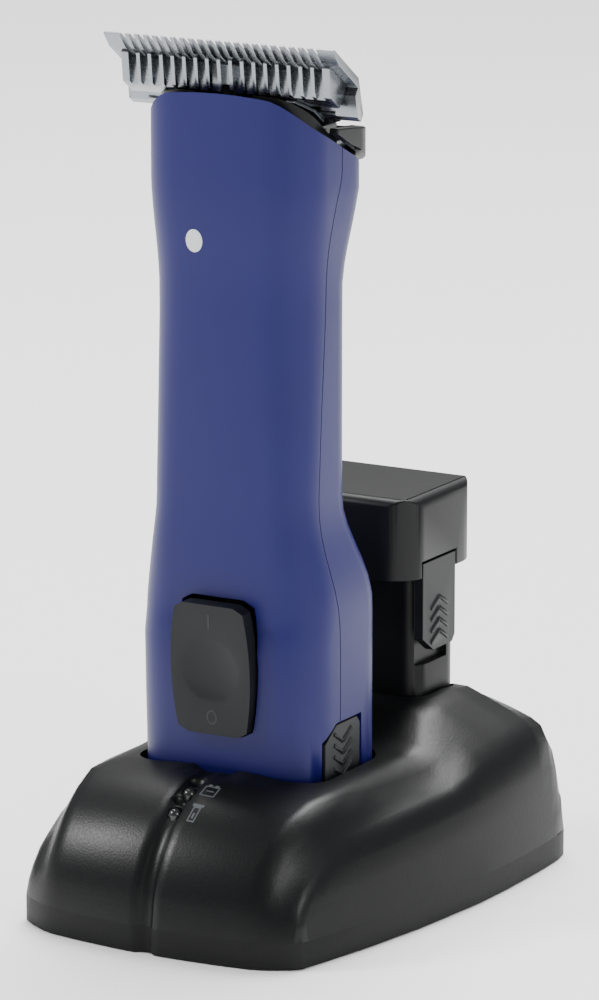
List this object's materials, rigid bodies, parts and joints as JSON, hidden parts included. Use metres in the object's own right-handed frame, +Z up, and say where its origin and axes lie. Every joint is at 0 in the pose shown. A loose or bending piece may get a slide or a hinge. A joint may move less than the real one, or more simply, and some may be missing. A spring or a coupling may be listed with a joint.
{
  "type": "electric pet clipper",
  "caption": "Cordless pet clipper standing in a two-bay charging dock, with a docked spare battery, rocker switch, detachable ridged blade and reciprocating cutter.",
  "frame": {"origin": "on the floor, under the middle of the dock's bounding box", "axes": "+Z up, -Y is the front with the switch and indicator lights, +X to the right of someone facing the front"},
  "size_m": [0.0816, 0.1024, 0.1708],
  "materials": {
    "dock_shell": "fine textured black polycarbonate blend",
    "base_plastic": "matt black moulded plastic",
    "foot_rubber": "soft grey-black rubber",
    "screw_steel": "zinc plated steel",
    "circuit_board": "green solder resist",
    "transformer": "taped ferrite core",
    "capacitor": "sleeved capacitor",
    "contact_metal": "gold plated spring brass",
    "lens": "clear smoked lens, unlit",
    "battery_plastic": "satin black moulded plastic",
    "cell_sleeve": "shrink sleeve",
    "shell_blue": "satin blue moulded plastic",
    "trim_black": "satin black moulded plastic",
    "motor_steel": "plated motor can",
    "lever_plastic": "black acetal",
    "blade_steel": "ground tool steel",
    "spring_steel": "spring steel"
  },
  "bodies": {
    "dock": {"dock_top_shell": "dock_shell", "dock_base_plate": "base_plastic", "dock_feet": "foot_rubber", "dock_screws": "screw_steel", "clipper_cradle": "base_plastic", "battery_cradle": "base_plastic", "dock_circuit_board": "circuit_board", "dock_transformer": "transformer", "dock_capacitors": "capacitor", "dock_clipper_contacts": "contact_metal", "dock_battery_contacts": "contact_metal", "indicator_lenses": "lens", "power_inlet": "base_plastic", "power_inlet_pin": "screw_steel"},
    "clipper_battery": {"clipper_battery_case": "battery_plastic", "clipper_battery_cap": "battery_plastic", "clipper_battery_cells": "cell_sleeve", "clipper_battery_terminals": "contact_metal"},
    "clipper_latch_left": {"clipper_battery_latch_left": "battery_plastic"},
    "clipper_latch_right": {"clipper_battery_latch_right": "battery_plastic"},
    "spare_battery": {"spare_battery_case": "battery_plastic", "spare_battery_cap": "battery_plastic", "spare_battery_cells": "cell_sleeve", "spare_battery_terminals": "contact_metal"},
    "spare_latch_left": {"spare_battery_latch_left": "battery_plastic"},
    "spare_latch_right": {"spare_battery_latch_right": "battery_plastic"},
    "clipper": {"front_shell": "shell_blue", "rear_shell": "shell_blue", "shell_screws": "screw_steel", "head_collar": "trim_black", "switch_module": "trim_black", "control_board": "circuit_board", "battery_contact_block": "trim_black", "motor_can": "motor_steel", "motor_end_cap": "trim_black", "motor_mount": "trim_black", "mount_screws": "screw_steel", "lever_pivot_pin": "motor_steel", "hinge_pin": "motor_steel"},
    "switch": {"switch_rocker": "trim_black"},
    "rotor": {"motor_shaft": "motor_steel", "eccentric_cam": "contact_metal", "cam_bearing": "motor_steel"},
    "lever": {"drive_lever": "lever_plastic"},
    "blade": {"blade_tongue": "spring_steel", "comb": "blade_steel", "blade_socket": "spring_steel", "tension_spring": "spring_steel", "blade_screws": "screw_steel"},
    "cutter": {"cutter": "blade_steel"},
    "release": {"blade_release": "trim_black", "release_springs": "spring_steel"}
  },
  "joints": [
    {"name": "clipper_lift", "type": "slide", "parent": "dock", "child": "clipper_battery", "axis": [0, 0, 1], "range_m": [0, 0.06]},
    {"name": "battery_release", "type": "slide", "parent": "clipper_battery", "child": "clipper", "axis": [0, 0, 1], "range_m": [0, 0.06]},
    {"name": "spare_lift", "type": "slide", "parent": "dock", "child": "spare_battery", "axis": [0, 0, 1], "range_m": [0, 0.06]},
    {"name": "clipper_latch_right_press", "type": "hinge", "parent": "clipper_battery", "child": "clipper_latch_right", "pos_m": [0.0191, -0.0104, 0.0207], "axis": [0, -1, 0], "range_deg": [0, 5], "stiffness_Nm_per_rad": 0.35},
    {"name": "clipper_latch_left_press", "type": "hinge", "parent": "clipper_battery", "child": "clipper_latch_left", "pos_m": [-0.0191, -0.0104, 0.0207], "axis": [0, 1, 0], "range_deg": [0, 5], "stiffness_Nm_per_rad": 0.35},
    {"name": "spare_latch_right_press", "type": "hinge", "parent": "spare_battery", "child": "spare_latch_right", "pos_m": [0.0191, 0.0283, 0.0626], "axis": [0, 1, 0], "range_deg": [0, 5], "stiffness_Nm_per_rad": 0.35},
    {"name": "spare_latch_left_press", "type": "hinge", "parent": "spare_battery", "child": "spare_latch_left", "pos_m": [-0.0191, 0.0283, 0.0626], "axis": [0, -1, 0], "range_deg": [0, 5], "stiffness_Nm_per_rad": 0.35},
    {"name": "switch_press", "type": "hinge", "parent": "clipper", "child": "switch", "pos_m": [0, -0.0215, 0.0503], "axis": [-1, 0, 0], "range_deg": [0, 7]},
    {"name": "motor_spin", "type": "hinge", "parent": "clipper", "child": "rotor", "pos_m": [0, -0.01175, 0.1], "axis": [0, 0, 1], "continuous": true},
    {"name": "lever_swing", "type": "hinge", "parent": "clipper", "child": "lever", "pos_m": [0, -0.01175, 0.132], "axis": [0, 1, 0], "range_deg": [-2.55, 2.55]},
    {"name": "cutter_slide", "type": "slide", "parent": "blade", "child": "cutter", "axis": [1, 0, 0], "range_m": [-0.00125, 0.00125]},
    {"name": "blade_fold", "type": "hinge", "parent": "clipper", "child": "blade", "pos_m": [0, -0.00449, 0.15052], "axis": [-1, 0, 0], "range_deg": [0, 70]},
    {"name": "release_push", "type": "slide", "parent": "clipper", "child": "release", "axis": [0, -1, 0], "range_m": [0, 0.002], "stiffness_N_per_m": 800}
  ],
  "couplings": [
    {"joint": "lever_swing", "follows": "cutter_slide", "rad_per_m": 35}
  ]
}
